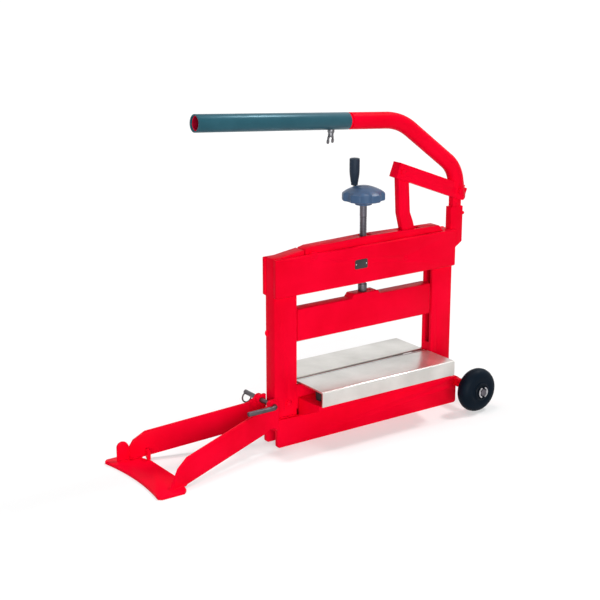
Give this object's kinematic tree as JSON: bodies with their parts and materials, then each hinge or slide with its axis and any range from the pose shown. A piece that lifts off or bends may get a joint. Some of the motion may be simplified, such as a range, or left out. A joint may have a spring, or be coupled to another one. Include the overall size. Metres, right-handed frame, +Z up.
{
  "type": "masonry block splitter",
  "caption": "Hand lever block splitter: portal frame with screw-set upper blade, fixed lower blade, sprung tables, folding foot and transport wheels.",
  "frame": {"origin": "on the floor under the middle of the gap between the uprights, in the blades' plane", "axes": "+X along the blades towards the wheels, -Y the front, +Z up"},
  "size_m": [1.0441, 0.287, 0.8507],
  "materials": {
    "red_paint": "gloss red paint",
    "bare_steel": "bare machined steel",
    "zinc_steel": "zinc plated",
    "grey_steel": "dark oxide",
    "buffer_rubber": "matt black",
    "tyre_rubber": "solid black rubber",
    "hub_plastic": "satin black",
    "slate_paint": "grey-blue paint",
    "wheel_plastic": "blue-grey gloss",
    "grip_plastic": "dark slate"
  },
  "bodies": {
    "frame": {"base_channel": "red_paint", "left_upright": "red_paint", "right_upright": "red_paint", "front_cheek": "red_paint", "rear_cheek": "red_paint", "lever_post": "red_paint", "beam_pivot_pin": "red_paint", "stop_bar": "red_paint", "blade_beam": "red_paint", "lower_blade": "bare_steel", "beam_bolts": "red_paint", "front_left_bracket": "red_paint", "front_right_bracket": "red_paint", "rear_left_bracket": "red_paint", "rear_right_bracket": "red_paint", "front_buffers": "buffer_rubber", "rear_buffers": "buffer_rubber", "hinge_lugs": "red_paint", "wheel_axle": "bare_steel", "axle_spacers": "red_paint", "axle_clips": "zinc_steel"},
    "front_wheel": {"front_tyre": "tyre_rubber", "front_hub": "hub_plastic"},
    "rear_wheel": {"rear_tyre": "tyre_rubber", "rear_hub": "hub_plastic"},
    "foot": {"front_leg": "red_paint", "rear_leg": "red_paint", "toe_plate": "red_paint", "toe_lug": "red_paint", "foot_rib": "red_paint", "hinge_pin": "grey_steel", "pin_clip": "grey_steel"},
    "lever": {"lever_arm": "red_paint", "lever_tube": "red_paint", "lever_pin": "red_paint", "link_pin": "red_paint", "handle_tube": "red_paint"},
    "sleeve": {"handle_sleeve": "slate_paint", "sleeve_boss": "zinc_steel"},
    "wing": {"wing_screw": "zinc_steel"},
    "link": {"lever_link": "red_paint", "link_foot_pin": "bare_steel"},
    "press": {"press_beam": "red_paint"},
    "nut": {"screw_nut": "bare_steel"},
    "knife": {"knife_bar": "red_paint", "upper_blade": "bare_steel", "left_guide": "bare_steel", "right_guide": "bare_steel"},
    "screw": {"spindle": "bare_steel", "handwheel": "wheel_plastic", "grip_stud": "bare_steel"},
    "grip": {"crank_grip": "grip_plastic"},
    "front_table": {"front_table": "bare_steel", "front_table_studs": "bare_steel"},
    "rear_table": {"rear_table": "bare_steel", "rear_table_studs": "bare_steel"}
  },
  "joints": [
    {"name": "lever_swing", "type": "hinge", "parent": "frame", "child": "lever", "pos_m": [0.305, 0, 0.582], "axis": [0, 1, 0], "range_deg": [0, 18]},
    {"name": "link_swing", "type": "hinge", "parent": "lever", "child": "link", "pos_m": [0.1151, 0, 0.65376], "axis": [0, 1, 0], "range_deg": [-8.5, 0]},
    {"name": "press_rock", "type": "hinge", "parent": "frame", "child": "press", "pos_m": [-0.17, 0, 0.479], "axis": [0, -1, 0], "range_deg": [0, 9.8]},
    {"name": "nut_lift", "type": "slide", "parent": "frame", "child": "nut", "axis": [0, 0, 1], "range_m": [0, 0.029]},
    {"name": "knife_height", "type": "slide", "parent": "nut", "child": "knife", "axis": [0, 0, 1], "range_m": [-0.0725, 0.0205]},
    {"name": "spindle_turn", "type": "hinge", "parent": "knife", "child": "screw", "pos_m": [0, 0, 0.36], "axis": [0, 0, 1], "range_deg": [-6480, 1800]},
    {"name": "grip_spin", "type": "hinge", "parent": "screw", "child": "grip", "pos_m": [0, 0.038, 0.65], "axis": [0, 0, 1], "continuous": true},
    {"name": "sleeve_slide", "type": "slide", "parent": "lever", "child": "sleeve", "axis": [-0.9972, 0, 0.075], "range_m": [0, 0.28]},
    {"name": "wing_turn", "type": "hinge", "parent": "sleeve", "child": "wing", "pos_m": [-0.10083, 0, 0.80047], "axis": [-0.075, 0, -0.9972], "continuous": true},
    {"name": "foot_fold", "type": "hinge", "parent": "frame", "child": "foot", "pos_m": [-0.298, 0, 0.117], "axis": [0, 1, 0], "range_deg": [0, 92]},
    {"name": "front_table_sink", "type": "slide", "parent": "frame", "child": "front_table", "axis": [0, 0, 1], "range_m": [-0.006, 0], "stiffness_N_per_m": 30000, "springref_m": 0.002, "deforming": ["front_buffers"]},
    {"name": "rear_table_sink", "type": "slide", "parent": "frame", "child": "rear_table", "axis": [0, 0, 1], "range_m": [-0.006, 0], "stiffness_N_per_m": 30000, "springref_m": 0.002, "deforming": ["rear_buffers"]},
    {"name": "front_wheel_spin", "type": "hinge", "parent": "frame", "child": "front_wheel", "pos_m": [0.302, -0.112, 0.059], "axis": [0, 1, 0], "continuous": true},
    {"name": "rear_wheel_spin", "type": "hinge", "parent": "frame", "child": "rear_wheel", "pos_m": [0.302, 0.112, 0.059], "axis": [0, 1, 0], "continuous": true}
  ],
  "couplings": [
    {"joint": "link_swing", "follows": "lever_swing", "ratio": -0.4512},
    {"joint": "press_rock", "follows": "lever_swing", "ratio": 0.523},
    {"joint": "nut_lift", "follows": "lever_swing", "m_per_rad": 0.08917},
    {"joint": "knife_height", "follows": "spindle_turn", "m_per_rad": 0.00063662}
  ]
}
